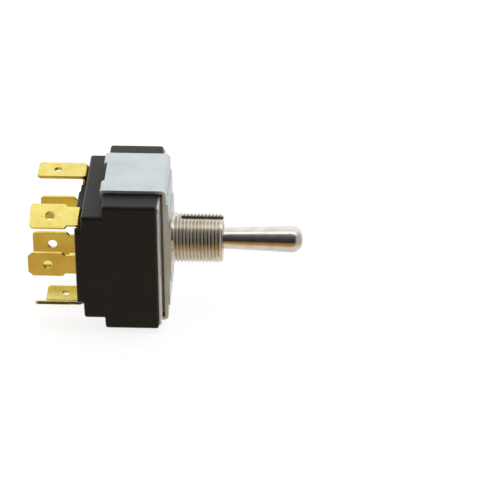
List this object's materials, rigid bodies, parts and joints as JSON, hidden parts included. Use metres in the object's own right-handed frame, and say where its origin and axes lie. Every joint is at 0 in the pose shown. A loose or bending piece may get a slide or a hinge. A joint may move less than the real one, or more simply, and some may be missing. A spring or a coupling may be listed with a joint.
{
  "type": "panel toggle switch",
  "caption": "Panel toggle switch with a bat lever in a threaded bushing, a plated frame, a stepped black case and bent blade terminals behind.",
  "frame": {"origin": "on the bushing's axis, at the raised face of the frame that meets the back of the panel", "axes": "+X out along the bushing and the lever, +Z the way the lever throws, +Y the far side in the picture"},
  "size_m": [0.0646, 0.029, 0.0362],
  "materials": {
    "case_moulding": "matte, near black",
    "strip_steel": "plain",
    "card_fibre": "matte, dark brown",
    "frame_zinc": "bright zinc plate",
    "terminal_brass": "dull, finely grained",
    "bushing_nickel": "bright nickel plate",
    "pin_steel": "plain",
    "lever_nickel": "bright nickel plate",
    "carrier_moulding": "matte, pale",
    "plunger_moulding": "smooth, pale",
    "spring_steel": "drawn wire",
    "rocker_silver": "silver plate",
    "rivet_brass": "dull"
  },
  "bodies": {
    "housing": {"case": "case_moulding", "inner_plate": "strip_steel", "insulator_card": "card_fibre", "frame": "frame_zinc", "ground_terminal": "terminal_brass", "bushing": "bushing_nickel", "pivot_pin": "pin_steel", "near_fulcrum": "rivet_brass", "mid_fulcrum": "rivet_brass", "far_fulcrum": "rivet_brass", "end_rivets": "rivet_brass", "top_link": "rivet_brass", "bottom_link": "rivet_brass", "near_top_terminal": "terminal_brass", "near_centre_terminal": "terminal_brass", "near_bottom_terminal": "terminal_brass", "mid_centre_terminal": "terminal_brass", "far_top_terminal": "terminal_brass", "far_centre_terminal": "terminal_brass", "far_bottom_terminal": "terminal_brass"},
    "lever": {"lever": "lever_nickel", "carrier": "carrier_moulding", "near_plunger": "plunger_moulding", "mid_plunger": "plunger_moulding", "far_plunger": "plunger_moulding", "near_spring": "spring_steel", "mid_spring": "spring_steel", "far_spring": "spring_steel"},
    "near_rocker": {"near_rocker": "rocker_silver"},
    "mid_rocker": {"mid_rocker": "rocker_silver"},
    "far_rocker": {"far_rocker": "rocker_silver"}
  },
  "joints": [
    {"name": "lever_pivot", "type": "hinge", "parent": "housing", "child": "lever", "pos_m": [0.0065, 0, 0], "axis": [0, 1, 0], "range_deg": [-11, 11]},
    {"name": "near_rock", "type": "hinge", "parent": "housing", "child": "near_rocker", "pos_m": [-0.0156, -0.009, 0], "axis": [0, 1, 0], "range_deg": [-8, 8]},
    {"name": "mid_rock", "type": "hinge", "parent": "housing", "child": "mid_rocker", "pos_m": [-0.0156, 0, 0], "axis": [0, 1, 0], "range_deg": [-8, 8]},
    {"name": "far_rock", "type": "hinge", "parent": "housing", "child": "far_rocker", "pos_m": [-0.0156, 0.009, 0], "axis": [0, 1, 0], "range_deg": [-8, 8]}
  ],
  "couplings": [
    {"joint": "near_rock", "follows": "lever_pivot", "ratio": -0.72},
    {"joint": "mid_rock", "follows": "lever_pivot", "ratio": -0.72},
    {"joint": "far_rock", "follows": "lever_pivot", "ratio": -0.72}
  ]
}
